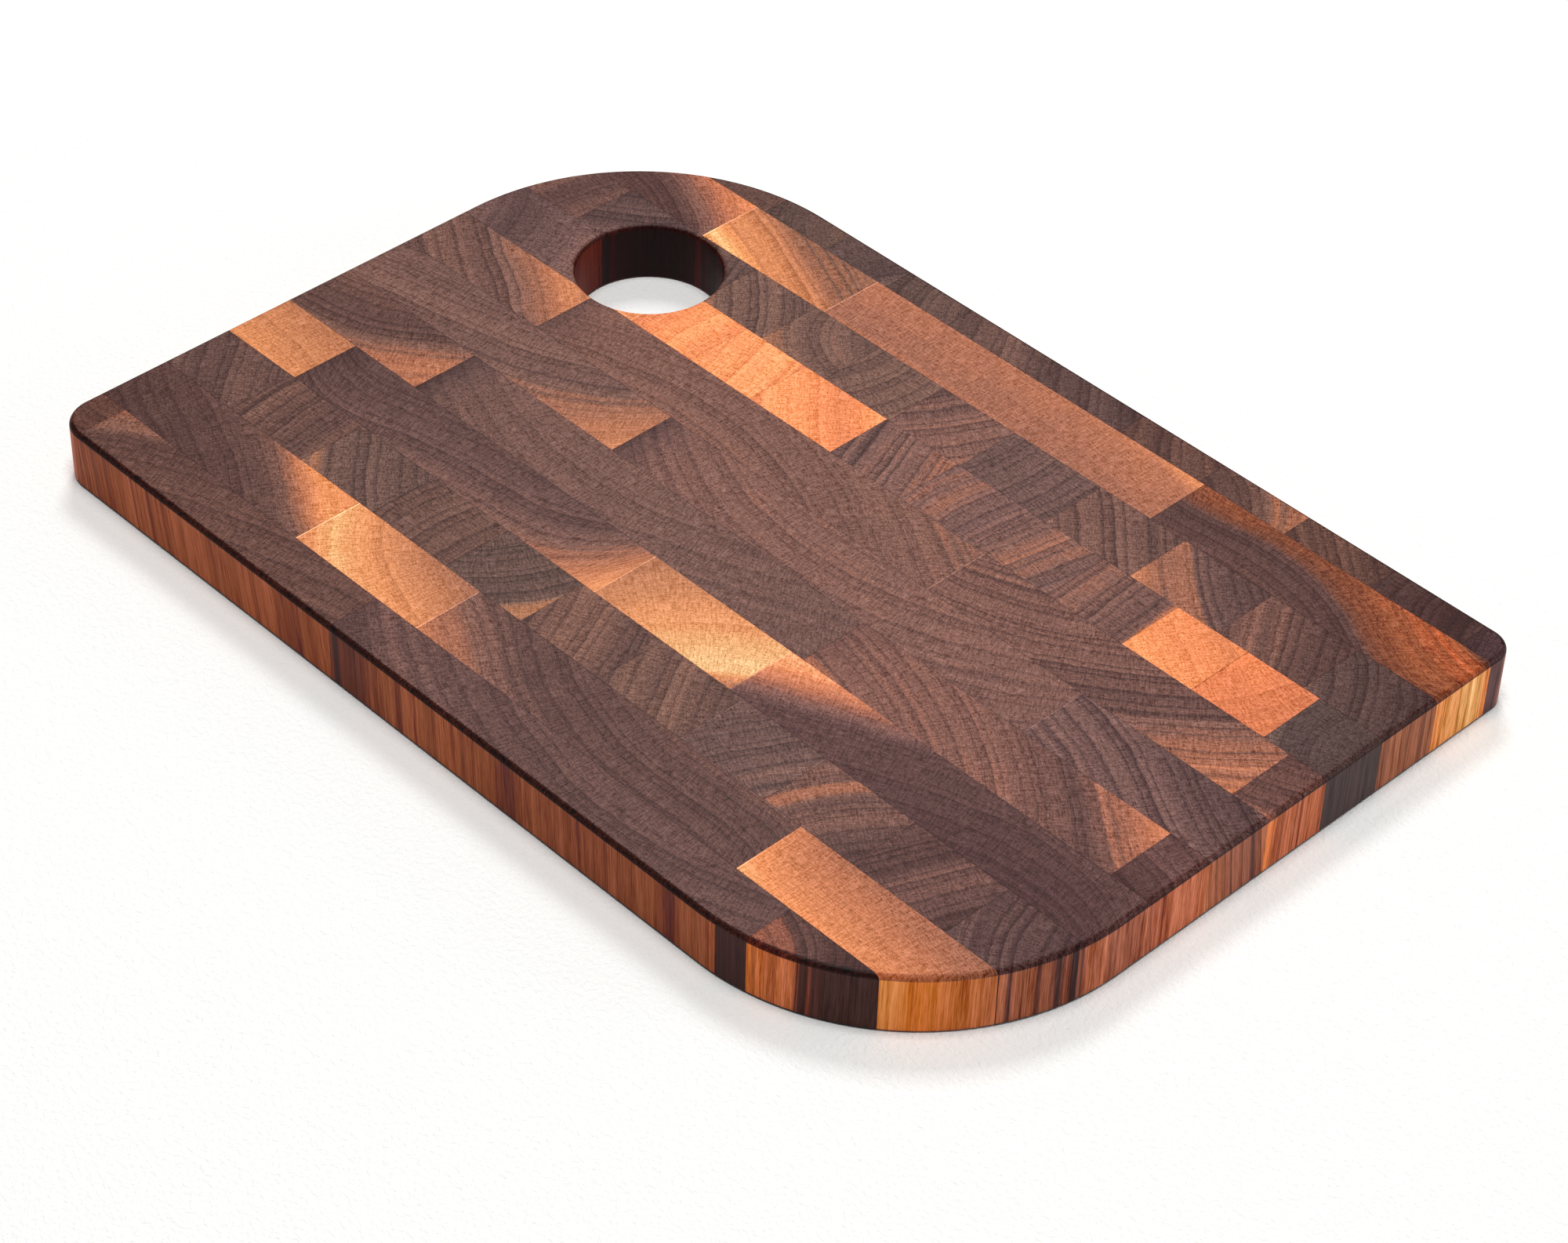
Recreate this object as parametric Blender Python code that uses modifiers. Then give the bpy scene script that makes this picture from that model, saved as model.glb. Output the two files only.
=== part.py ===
"""End-grain walnut cutting board with a drilled hanging hole.

The board is eleven strips lettered a (back) to k (front). Each strip is a row of end-grain blocks,
numbered from the left, standing on end with the wood fibres running up through the board.
The strips are glued face to face, the outline is cut with two wide and two tight corners,
the edges are rounded over and one round hole is drilled through.

Metres, +Z up, +X along the board, origin under its middle on the surface it lies on.
"""
import math

import bmesh
import bpy

BOARD_LENGTH = 0.400
BOARD_WIDTH = 0.270
BOARD_THICKNESS = 0.0225

WIDE_CORNER_RADIUS = 0.087
FRONT_LEFT_CORNER_RADIUS = 0.013
BACK_RIGHT_CORNER_RADIUS = 0.009
WIDE_CORNER_STEPS = 24
TIGHT_CORNER_STEPS = 6

TOP_ROUNDOVER = 0.0020
BOTTOM_ROUNDOVER = 0.0010
ROUNDOVER_STEPS = 3

HOLE_DIAMETER = 0.0515
HOLE_CENTRE = (-0.1304, 0.0678)
HOLE_RIM_STEPS = 3
HOLE_SIDES = 60
PLUG_OVERLENGTH = 0.004

STRIP_HEIGHT = 0.0263
BACK_GLUE_LINE = 0.1213
GLUE_GAP = 0.0003
BLOCK_OVERLENGTH = 0.005

# Wood tones: base colour, roughness
TONES = {
    "heartwood": ((0.115, 0.062, 0.048), 0.52),
    "dark_heartwood": ((0.072, 0.044, 0.038), 0.50),
    "streaked": ((0.180, 0.082, 0.048), 0.52),
    "sapwood": ((0.480, 0.230, 0.105), 0.56),
    "amber": ((0.390, 0.150, 0.066), 0.55),
}

# Each strip from the left end: where a block ends, in millimetres from the board's middle, and its
# tone. The last block runs out to the board's right edge.
RIGHT_END = 200.0
STRIPS = {
    "a": [
        (-67.5, "dark_heartwood"),
        (42.5, "heartwood"),
        (114.5, "heartwood"),
        (RIGHT_END, "dark_heartwood"),
    ],
    "b": [
        (-132.5, "streaked"),
        (-71.5, "sapwood"),
        (80.5, "amber"),
        (RIGHT_END, "streaked"),
    ],
    "c": [
        (-169.5, "heartwood"),
        (-74.5, "heartwood"),
        (-44.0, "heartwood"),
        (-13.0, "heartwood"),
        (19.5, "heartwood"),
        (58.5, "dark_heartwood"),
        (95.5, "heartwood"),
        (132.5, "streaked"),
        (168.0, "heartwood"),
        (RIGHT_END, "dark_heartwood"),
    ],
    "d": [
        (-129.5, "heartwood"),
        (-82.0, "sapwood"),
        (-53.0, "sapwood"),
        (-14.0, "sapwood"),
        (18.5, "heartwood"),
        (84.0, "streaked"),
        (116.5, "heartwood"),
        (145.5, "sapwood"),
        (175.0, "amber"),
        (RIGHT_END, "dark_heartwood"),
    ],
    "e": [
        (-130.5, "streaked"),
        (56.5, "heartwood"),
        (185.5, "streaked"),
        (RIGHT_END, "dark_heartwood"),
    ],
    "f": [
        (-63.0, "streaked"),
        (124.0, "heartwood"),
        (RIGHT_END, "dark_heartwood"),
    ],
    "g": [
        (-132.0, "streaked"),
        (55.0, "heartwood"),
        (184.5, "streaked"),
        (RIGHT_END, "dark_heartwood"),
    ],
    "h": [
        (-163.0, "sapwood"),
        (-13.0, "streaked"),
        (49.5, "sapwood"),
        (RIGHT_END, "streaked"),
    ],
    "i": [
        (-164.0, "dark_heartwood"),
        (-127.0, "heartwood"),
        (-90.5, "heartwood"),
        (-17.5, "heartwood"),
        (19.0, "heartwood"),
        (56.0, "heartwood"),
        (130.0, "streaked"),
        (168.5, "streaked"),
        (RIGHT_END, "dark_heartwood"),
    ],
    "j": [
        (-96.5, "streaked"),
        (-37.0, "sapwood"),
        (108.5, "streaked"),
        (RIGHT_END, "amber"),
    ],
    "k": [
        (-186.5, "heartwood"),
        (-56.0, "heartwood"),
        (131.5, "dark_heartwood"),
        (RIGHT_END, "heartwood"),
    ],
}


def clear_scene():
    for found in list(bpy.data.objects):
        bpy.data.objects.remove(found, do_unlink=True)


def new_collection(name):
    collection = bpy.data.collections.new(name)
    bpy.context.scene.collection.children.link(collection)
    return collection


def wood_material(name, colour, roughness):
    material = bpy.data.materials.new(name)
    material.use_nodes = True
    shader = material.node_tree.nodes["Principled BSDF"]
    shader.inputs["Base Color"].default_value = (*colour, 1.0)
    shader.inputs["Roughness"].default_value = roughness
    shader.inputs["Metallic"].default_value = 0.0
    return material


def outline_points():
    """The board's outline, anticlockwise: wide corners front right and back left, tight ones between."""
    corners = (
        (-1, -1, FRONT_LEFT_CORNER_RADIUS, TIGHT_CORNER_STEPS, 180),
        (1, -1, WIDE_CORNER_RADIUS, WIDE_CORNER_STEPS, 270),
        (1, 1, BACK_RIGHT_CORNER_RADIUS, TIGHT_CORNER_STEPS, 0),
        (-1, 1, WIDE_CORNER_RADIUS, WIDE_CORNER_STEPS, 90),
    )
    points = []
    for side_x, side_y, radius, steps, start in corners:
        centre_x = side_x * (BOARD_LENGTH / 2 - radius)
        centre_y = side_y * (BOARD_WIDTH / 2 - radius)
        for step in range(steps + 1):
            angle = math.radians(start + 90 * step / steps)
            points.append(
                (centre_x + radius * math.cos(angle), centre_y + radius * math.sin(angle))
            )
    return points


def outline_plate(collection):
    """A flat curve of the outline, as thick as the board, made into a mesh with closed caps."""
    curve = bpy.data.curves.new("outline", "CURVE")
    curve.dimensions = "2D"
    curve.fill_mode = "BOTH"
    curve.extrude = BOARD_THICKNESS / 2
    points = outline_points()
    spline = curve.splines.new("POLY")
    spline.points.add(len(points) - 1)
    for point, (x, y) in zip(spline.points, points):
        point.co = (x, y, 0.0, 1.0)
    spline.use_cyclic_u = True
    outline = bpy.data.objects.new("outline", curve)
    outline.location = (0.0, 0.0, BOARD_THICKNESS / 2)
    collection.objects.link(outline)

    depsgraph = bpy.context.evaluated_depsgraph_get()
    mesh = bpy.data.meshes.new_from_object(outline.evaluated_get(depsgraph))
    edit = bmesh.new()
    edit.from_mesh(mesh)
    bmesh.ops.remove_doubles(edit, verts=edit.verts, dist=0.00001)
    bmesh.ops.dissolve_limit(
        edit, angle_limit=math.radians(0.2), verts=edit.verts, edges=edit.edges
    )
    bmesh.ops.recalc_face_normals(edit, faces=edit.faces)
    edit.to_mesh(mesh)
    edit.free()

    plate = bpy.data.objects.new("board_blank", mesh)
    plate.matrix_world = outline.matrix_world.copy()
    plate.location = (0.0, 0.0, BOARD_THICKNESS / 2)
    collection.objects.link(plate)
    bpy.data.objects.remove(outline, do_unlink=True)
    return plate


def round_over(plate):
    """Rounds the plate's top rim, and its bottom rim more lightly, through the edges' bevel weights."""
    mesh = plate.data
    weights = mesh.attributes.new("bevel_weight_edge", "FLOAT", "EDGE")
    for edge in mesh.edges:
        heights = [mesh.vertices[index].co.z for index in edge.vertices]
        if min(heights) > 0:
            weights.data[edge.index].value = 1.0
        elif max(heights) < 0:
            weights.data[edge.index].value = BOTTOM_ROUNDOVER / TOP_ROUNDOVER
    bevel = plate.modifiers.new("roundover", "BEVEL")
    bevel.limit_method = "WEIGHT"
    bevel.width = TOP_ROUNDOVER
    bevel.segments = ROUNDOVER_STEPS


def rim_profile(rim):
    """Radius and height down one end of the plug: from clear of the board to the straight bore."""
    bore = HOLE_DIAMETER / 2
    profile = [(bore + rim, PLUG_OVERLENGTH)]
    for step in range(HOLE_RIM_STEPS + 1):
        angle = math.radians(90 * step / HOLE_RIM_STEPS)
        profile.append(
            (bore + rim - rim * math.sin(angle), -rim + rim * math.cos(angle))
        )
    return profile


def hole_cutter(collection):
    """A turned plug: straight through the board, and flared at both ends to ease the hole's rims."""
    profile = [(0.0, PLUG_OVERLENGTH), *rim_profile(TOP_ROUNDOVER)]
    lower = [(0.0, PLUG_OVERLENGTH), *rim_profile(BOTTOM_ROUNDOVER)]
    profile += [(radius, -BOARD_THICKNESS - height) for radius, height in reversed(lower)]

    mesh = bpy.data.meshes.new("hole_plug")
    edit = bmesh.new()
    ring = [edit.verts.new((radius, 0.0, height)) for radius, height in profile]
    for upper, below in zip(ring, ring[1:]):
        edit.edges.new((upper, below))
    edit.to_mesh(mesh)
    edit.free()

    plug = bpy.data.objects.new("hole_plug", mesh)
    plug.location = (*HOLE_CENTRE, BOARD_THICKNESS)
    collection.objects.link(plug)
    screw = plug.modifiers.new("turn", "SCREW")
    screw.steps = HOLE_SIDES
    screw.render_steps = HOLE_SIDES
    screw.use_merge_vertices = True
    screw.merge_threshold = 0.00001
    return plug


def hide_guide(guide):
    guide.hide_render = True
    guide.display_type = "WIRE"


def board_blank(collection):
    """The whole board as one shape, which every block is trimmed to."""
    blank = outline_plate(collection)
    round_over(blank)
    plug = hole_cutter(collection)
    drill = blank.modifiers.new("hole", "BOOLEAN")
    drill.operation = "DIFFERENCE"
    drill.solver = "EXACT"
    drill.object = plug
    hide_guide(plug)
    hide_guide(blank)
    return blank


def add_block(name, left, right, front, back, material, blank, collection):
    """One end-grain block between its glue lines, trimmed to the board's outline and faces."""
    height = BOARD_THICKNESS + 2 * BLOCK_OVERLENGTH
    mesh = bpy.data.meshes.new(name)
    edit = bmesh.new()
    bmesh.ops.create_cube(edit, size=1.0)
    bmesh.ops.scale(edit, vec=(right - left, back - front, height), verts=edit.verts)
    edit.to_mesh(mesh)
    edit.free()
    mesh.materials.append(material)

    block = bpy.data.objects.new(name, mesh)
    block.location = ((left + right) / 2, (front + back) / 2, BOARD_THICKNESS / 2)
    collection.objects.link(block)
    trim = block.modifiers.new("trim", "BOOLEAN")
    trim.operation = "INTERSECT"
    trim.solver = "EXACT"
    trim.object = blank
    return block


def build():
    clear_scene()
    parts = new_collection("cutting_board")
    guides = new_collection("cutters")
    blank = board_blank(guides)
    materials = {
        tone: wood_material(f"walnut_{tone}", colour, roughness)
        for tone, (colour, roughness) in TONES.items()
    }

    outside = 0.010
    half_gap = GLUE_GAP / 2
    last = len(STRIPS) - 1
    for row, (letter, blocks) in enumerate(STRIPS.items()):
        back = BACK_GLUE_LINE - (row - 1) * STRIP_HEIGHT - half_gap
        front = BACK_GLUE_LINE - row * STRIP_HEIGHT + half_gap
        if row == 0:
            back = BOARD_WIDTH / 2 + outside
        if row == last:
            front = -BOARD_WIDTH / 2 - outside
        left = -BOARD_LENGTH / 2 - outside
        for number, (end, tone) in enumerate(blocks, start=1):
            right = end / 1000 - half_gap
            if end == RIGHT_END:
                right = BOARD_LENGTH / 2 + outside
            name = f"strip_{letter}_block_{number:02d}"
            add_block(name, left, right, front, back, materials[tone], blank, parts)
            left = end / 1000 + half_gap


build()
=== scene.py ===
"""Looks of the end-grain walnut cutting board: one detailed block for each glued piece of wood."""
import math

import bmesh
import bpy
from mathutils import Matrix, Vector


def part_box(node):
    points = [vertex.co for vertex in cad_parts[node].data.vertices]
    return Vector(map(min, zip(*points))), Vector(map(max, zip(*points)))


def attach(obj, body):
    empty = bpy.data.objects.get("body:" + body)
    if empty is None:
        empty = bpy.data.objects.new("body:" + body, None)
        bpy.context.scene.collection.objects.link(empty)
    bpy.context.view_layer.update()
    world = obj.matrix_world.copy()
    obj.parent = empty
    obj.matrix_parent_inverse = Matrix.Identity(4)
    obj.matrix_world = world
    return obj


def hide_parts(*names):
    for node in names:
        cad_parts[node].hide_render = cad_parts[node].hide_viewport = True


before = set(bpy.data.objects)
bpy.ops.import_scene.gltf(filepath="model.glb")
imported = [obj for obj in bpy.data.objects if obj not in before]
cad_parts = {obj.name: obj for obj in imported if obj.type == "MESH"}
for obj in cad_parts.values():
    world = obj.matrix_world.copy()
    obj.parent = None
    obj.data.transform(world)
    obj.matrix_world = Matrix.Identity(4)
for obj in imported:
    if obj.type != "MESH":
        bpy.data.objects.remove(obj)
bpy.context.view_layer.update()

MM = 0.001

# The board, in millimetres, in the frame's own axes.
LENGTH, WIDTH, THICKNESS = 400.0, 270.0, 22.5
WIDE_RADIUS, FRONT_LEFT_RADIUS, BACK_RIGHT_RADIUS = 87.0, 13.0, 9.0
WIDE_STEPS, TIGHT_STEPS = 60, 16
TOP_ROUNDOVER, BOTTOM_ROUNDOVER, ROUNDOVER_STEPS = 2.0, 1.0, 6
HOLE_X, HOLE_Y, HOLE_RADIUS, HOLE_SIDES = -130.4, 67.8, 25.75, 120
PLUG_OVERHANG, BLOCK_OVERHANG = 4.0, 8.0  # how far the cutting shapes reach past the board
WELD_DISTANCE = 1e-6  # metres
SHARP_ANGLE = 35.0  # degrees
STRIP_HEIGHT, BACK_GLUE_LINE = 26.3, 121.3

# Where the end joints of each strip are, along X.
JOINTS = {
    "a": (-128.2, -97.5, -67.6, -37.7, 5.6, 42.3, 78.2, 114.7, 150.9, 187.8),
    "b": (-132.4, -71.5, 80.4),
    "c": (-169.7, -134.7, -105.0, -74.7, -43.8, -13.2, 19.7, 58.6, 95.5, 132.6, 168.2),
    "d": (-129.5, -111.5, -82.0, -52.9, -14.0, 18.7, 51.4, 84.2, 116.3, 145.3, 174.9),
    "e": (-130.7, 56.6, 185.4),
    "f": (-62.9, 123.9),
    "g": (-132.2, 55.0, 184.4),
    "h": (-163.2, -12.9, 49.7),
    "i": (-164.2, -127.0, -90.6, -53.9, -17.7, 19.2, 55.9, 92.7, 130.0, 168.4),
    "j": (-96.7, -37.1, 108.6),
    "k": (-186.7, -55.9, 131.6),
}

# The growth rings of each block: the point they are set out from; the way they grow, in degrees;
# how they bend, skew and curl (in 1/1000, 1/100000 and 1/1000000); the lightness of the wood at
# distances along the growth; the rings' pitch and depth; the wood's lean to red and to yellow.
BLOCKS = {
    "a01": ((-137, 125), 96, (0, 0, 0), [(-8, 37), (8, 36)], (2.6, 1.2), (0, 2)),
    "a02": ((-113, 127), 41, (-45, 0, 0), [(-15, 33), (12, 39)], (2.6, 1.0), (-4, 1)),
    "a03": ((-83, 127), 154, (12, 0, 0), [(-15, 43), (-10, 33), (15, 37)], (2.4, 1.2), (-4, -2)),
    "a04": ((-53, 127), 21, (-19, 0, 0), [(-15, 33), (13, 40), (15, 33)], (5.0, 1.9), (-4, 0)),
    "a05": ((-16, 127), 30, (-7, 0, 0), [(-20, 35), (3, 42), (20, 32)], (5.5, 1.8), (-2, 0)),
    "a06": ((24, 127), 39, (-4, 0, 0), [(-16, 35), (6, 35), (16, 30)], (5.7, 2.1), (-2, -1)),
    "a07": (
        (60, 127), 38, (-14, 0, 0),
        [(-17, 32), (-13, 38), (-5, 32), (-2, 36), (13, 38), (16, 31)],
        (6.0, 2.2), (1, 3),
    ),
    "a08": (
        (96, 127), 48, (21, 0, 0),
        [(-14, 33), (-1, 38), (4, 40), (8, 54), (9, 48), (16, 52)],
        (5.8, 1.9), (0, 2),
    ),
    "a09": (
        (133, 127), 48, (1, 0, 0),
        [(-15, 33), (-10, 38), (-7, 31), (-6, 38), (-4, 38), (15, 32)],
        (6.0, 2.4), (1, 4),
    ),
    "a10": ((169, 127), 15, (-36, 0, 0), [(-19, 32), (15, 25), (18, 32)], (5.5, 1.7), (-1, 0)),
    "a11": ((192, 126), 18, (20, 0, 0), [(-8, 27), (8, 30)], (3.0, 1.2), (-1, -6)),
    "b01": (
        (-152, 107), 65, (16, -5, 0),
        [(-21, 34), (-6, 31), (11, 57), (21, 68)],
        (2.7, 1.8), (3, 1),
    ),
    "b02": (
        (-102, 108), 67, (3, 7, 0),
        [(-23, 78), (-17, 79), (-10, 64), (-3, 65), (6, 50), (23, 48)],
        (5.2, 3.3), (-1, 2),
    ),
    "b03": (
        (4, 108), 86, (2, 0, 0),
        [(-14, 58), (-11, 52), (16, 57), (22, 70)],
        (3.2, 0.9), (0, -1),
    ),
    "b04": (
        (139, 108), 74, (15, 17, -29),
        [(-16, 35), (1, 33), (5, 39), (16, 45), (29, 51), (33, 48), (35, 37)],
        (3.7, 1.8), (1, 0),
    ),
    "c01": ((-180, 81), 169, (10, 0, 0), [(-12, 42), (4, 33), (12, 43)], (4.4, 1.2), (1, 0)),
    "c02": (
        (-160, 84), 126, (-8, 0, 0),
        [(-12, 40), (-6, 34), (3, 36), (13, 32)],
        (6.0, 2.1), (-2, -2),
    ),
    "c03": ((-110, 90), 18, (10, 0, 0), [(-6, 40), (5, 35)], (5.5, 2.2), (-3, -1)),
    "c04": (
        (-90, 82), 44, (3, 0, 0),
        [(-17, 48), (-13, 43), (3, 42), (6, 47), (9, 39), (18, 40)],
        (4.6, 2.5), (-3, 0),
    ),
    "c05": (
        (-59, 82), 52, (-37, 0, 0),
        [(-19, 53), (-6, 41), (5, 45), (18, 38)],
        (5.8, 1.7), (-3, 0),
    ),
    "c06": (
        (-29, 82), 170, (-24, 0, 0),
        [(-18, 44), (2, 42), (7, 45), (11, 39), (16, 45)],
        (5.0, 2.0), (-3, 0),
    ),
    "c07": (
        (3, 82), 150, (-9, 0, 0),
        [(-19, 45), (3, 45), (9, 39), (12, 47), (14, 43), (19, 34)],
        (5.1, 2.6), (0, -1),
    ),
    "c08": ((39, 82), 175, (-13, 0, 0), [(-21, 40), (6, 41), (20, 39)], (4.5, 2.2), (-3, -2)),
    "c09": (
        (77, 82), 45, (2, 0, 0),
        [(-21, 43), (10, 41), (13, 35), (15, 44), (16, 40), (21, 36)],
        (6.0, 2.9), (-1, 0),
    ),
    "c10": (
        (114, 82), 49, (-9, 0, 0),
        [(-20, 59), (-10, 49), (-3, 53), (-1, 42), (2, 38), (20, 35)],
        (5.8, 2.3), (-1, -1),
    ),
    "c11": (
        (150, 82), 30, (2, 0, 0),
        [(-20, 37), (-12, 47), (-7, 36), (-3, 46), (1, 36), (20, 33)],
        (6.0, 2.4), (1, 1),
    ),
    "c12": ((183, 82), 34, (14, 0, 0), [(-18, 42), (-14, 36), (18, 31)], (5.4, 2.2), (-3, -1)),
    "d01": ((-175, 55), 24, (13, 36, 0), [(-24, 42), (-11, 35), (20, 44)], (4.2, 1.2), (-2, -3)),
    "d02": ((-113, 55), 0, (-8, 0, 0), [(-12, 72), (12, 72)], (3.2, 1.6), (1, -1)),
    "d03": ((-95, 55), 0, (-8, 0, 0), [(-17, 67), (3, 76), (13, 71)], (3.2, 1.6), (5, 2)),
    "d04": (
        (-68, 56), 15, (1, 0, 0),
        [(-17, 73), (10, 75), (11, 77), (14, 70), (15, 76), (17, 66)],
        (5.2, 2.4), (4, 2),
    ),
    "d05": (
        (-33, 56), 47, (-2, 0, 0),
        [(-21, 69), (-16, 76), (-3, 73), (7, 67), (20, 76)],
        (5.0, 2.1), (5, 2),
    ),
    "d06": (
        (2, 56), 22, (-3, 0, 0),
        [(-18, 35), (-14, 46), (-12, 38), (-4, 47), (2, 43), (17, 51)],
        (5.0, 3.4), (-1, -2),
    ),
    "d07": (
        (35, 56), 173, (16, 0, 0),
        [(-17, 46), (-6, 42), (6, 50), (9, 46), (14, 49), (18, 40)],
        (3.6, 2.3), (-1, -3),
    ),
    "d08": (
        (68, 56), 169, (-1, 0, 0),
        [(-18, 45), (-13, 41), (-6, 48), (-3, 47), (0, 50), (18, 42)],
        (4.5, 2.5), (-1, -2),
    ),
    "d09": (
        (100, 56), 3, (0, 0, 0),
        [(-16, 43), (-14, 46), (-5, 46), (6, 40), (14, 41), (16, 58)],
        (6.0, 2.7), (0, -1),
    ),
    "d10": (
        (131, 56), 60, (0, 0, 0),
        [(-16, 74), (-1, 71), (13, 66), (16, 69)],
        (4.0, 1.5), (4, 2),
    ),
    "d11": ((160, 56), 155, (-10, 0, 0), [(-18, 61), (-9, 61), (15, 68)], (3.6, 1.8), (7, 3)),
    "d12": ((186, 56), 11, (-41, 0, 0), [(-15, 43), (-9, 34), (12, 34)], (4.7, 1.0), (-6, -2)),
    "e01": (
        (-164, 29), 62, (1, -33, 0),
        [(-25, 41), (-12, 44), (-8, 39), (2, 43), (21, 64), (24, 59)],
        (6.0, 2.7), (-1, 0),
    ),
    "e02": ((-37, 29), 81, (8, 3, -2), [(-15, 47), (0, 43), (49, 47)], (5.2, 1.7), (0, 0)),
    "e03": (
        (121, 29), 126, (-5, -11, -3),
        [(-51, 60), (-43, 52), (-40, 54), (-23, 46), (-16, 37), (8, 43)],
        (4.3, 2.9), (1, 0),
    ),
    "e04": ((192, 29), 110, (-27, 0, 0), [(-13, 47), (-11, 37), (13, 37)], (4.1, 2.0), (4, 1)),
    "f01": (
        (-130, 3), 106, (-5, 18, -2),
        [(-45, 62), (-26, 54), (-9, 41), (5, 44), (27, 40)],
        (4.8, 2.0), (-2, -1),
    ),
    "f02": ((31, 3), 95, (-7, -3, -1), [(-48, 43), (14, 46)], (5.8, 1.7), (0, -1)),
    "f03": (
        (161, 3), 60, (4, 49, -1),
        [(-27, 41), (-4, 42), (0, 38), (1, 42), (25, 32), (28, 40)],
        (4.7, 2.9), (-1, -3),
    ),
    "g01": (
        (-165, -23), 119, (-15, -25, 32),
        [(-29, 56), (-15, 54), (-4, 39), (3, 34), (23, 42)],
        (5.8, 2.0), (0, 1),
    ),
    "g02": ((-39, -23), 99, (-7, -6, 1), [(-43, 41), (15, 43)], (5.7, 1.2), (-2, -1)),
    "g03": (
        (120, -23), 58, (7, 10, -6),
        [(-35, 55), (-32, 45), (3, 45), (25, 37), (30, 47), (49, 61)],
        (4.1, 2.1), (2, 0),
    ),
    "g04": ((191, -23), 76, (9, 0, 0), [(-14, 28), (0, 36), (13, 36)], (6.0, 1.8), (4, -1)),
    "h01": ((-180, -50), 82, (4, 0, 0), [(-14, 68), (14, 58)], (3.4, 1.6), (-2, 1)),
    "h02": ((-88, -50), 97, (5, 22, -24), [(-48, 72), (-6, 39), (25, 35)], (5.5, 1.8), (-1, -1)),
    "h03": (
        (18, -50), 138, (13, 0, 0),
        [(-29, 59), (-22, 84), (-18, 82), (2, 71), (30, 58)],
        (5.0, 1.4), (-3, -1),
    ),
    "h04": (
        (123, -50), 111, (3, -19, 6),
        [(-24, 30), (16, 36), (35, 76), (41, 77)],
        (4.3, 1.4), (2, -2),
    ),
    "i01": (
        (-181, -76), 41, (3, 0, 0),
        [(-19, 38), (-6, 36), (7, 40), (20, 36)],
        (5.1, 1.9), (-2, 0),
    ),
    "i02": (
        (-146, -76), 8, (-10, 0, 0),
        [(-20, 40), (-15, 36), (-12, 43), (-7, 38), (14, 37), (19, 40)],
        (3.7, 2.3), (-1, 1),
    ),
    "i03": (
        (-109, -76), 48, (-5, 0, 0),
        [(-21, 45), (-17, 53), (-13, 43), (-8, 40), (20, 39)],
        (6.0, 2.2), (-4, 0),
    ),
    "i04": ((-72, -76), 177, (13, 0, 0), [(-18, 39), (-10, 40), (19, 39)], (5.7, 2.2), (-2, 1)),
    "i05": (
        (-36, -76), 147, (-13, 0, 0),
        [(-21, 55), (-17, 58), (-13, 41), (-11, 38), (21, 39)],
        (4.2, 2.2), (-5, 0),
    ),
    "i06": (
        (1, -76), 26, (2, 0, 0),
        [(-21, 36), (-13, 44), (0, 44), (15, 36), (21, 40)],
        (5.1, 2.2), (-1, 1),
    ),
    "i07": (
        (37, -76), 31, (-3, 0, 0),
        [(-21, 34), (-15, 45), (-6, 40), (4, 45), (6, 41), (21, 38)],
        (6.0, 2.2), (-2, 1),
    ),
    "i08": (
        (74, -76), 152, (4, 0, 0),
        [(-21, 45), (-17, 37), (-13, 46), (-9, 40), (5, 39), (21, 42)],
        (4.4, 2.0), (-3, -2),
    ),
    "i09": (
        (111, -76), 148, (8, 0, 0),
        [(-22, 34), (-15, 35), (-4, 44), (4, 38), (8, 53), (11, 52), (13, 41), (18, 46), (21, 41)],
        (4.6, 1.8), (0, 0),
    ),
    "i10": (
        (149, -76), 157, (2, 0, 0),
        [(-22, 29), (-9, 39), (1, 40), (6, 32), (10, 34), (21, 35)],
        (4.2, 2.3), (2, 0),
    ),
    "i11": (
        (181, -75), 24, (-19, 0, 0),
        [(-16, 36), (-12, 41), (-10, 30), (-2, 38), (2, 31), (9, 35), (18, 31)],
        (6.0, 2.9), (0, -2),
    ),
    "j01": (
        (-147, -102), 65, (7, -4, -24),
        [(-30, 31), (6, 36), (12, 42), (26, 73), (36, 68)],
        (5.0, 1.4), (0, 1),
    ),
    "j02": ((-67, -102), 62, (-13, -35, 0), [(-26, 68), (-17, 78), (23, 52)], (4.5, 1.9), (-2, 0)),
    "j03": (
        (36, -102), 77, (-10, -4, 11),
        [(-44, 59), (-14, 36), (8, 36), (16, 41)],
        (4.7, 1.8), (0, 0),
    ),
    "j04": ((143, -102), 84, (3, 0, 0), [(-14, 72), (-11, 67), (18, 51)], (3.4, 1.2), (1, 1)),
    "k01": ((-192, -123), 94, (-66, 0, 0), [(-9, 34), (8, 35)], (4.5, 1.5), (4, 5)),
    "k02": (
        (-121, -124), 107, (2, 5, 4),
        [(-22, 37), (-1, 37), (21, 35), (24, 45), (32, 48)],
        (5.5, 1.6), (1, 2),
    ),
    "k03": (
        (38, -124), 79, (-6, 4, 0),
        [(-42, 32), (-30, 40), (-6, 36), (12, 38)],
        (6.0, 1.6), (0, -1),
    ),
    "k04": (
        (143, -121), 57, (30, 0, 0),
        [(-12, 46), (-4, 42), (-2, 33), (1, 34), (12, 27)],
        (4.5, 2.1), (3, 2),
    ),
}

# Blocks whose fibres lean: how far the grain shifts along X and Y for each millimetre of height.
LEANS = {"k02": (0.14, 0.0, 0.0), "k03": (0.03, 0.0, 0.0), "f03": (0.0, 0.12, 0.0)}
SLIGHT_LEAN, LEAN_TURN_X, LEAN_TURN_Y = 0.03, 2.4, 1.7  # the other blocks lean a little each way
SEED_STEP_X, SEED_STEP_Y = 37.0, 11.0  # takes each block's grain from another place in the noise

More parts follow.
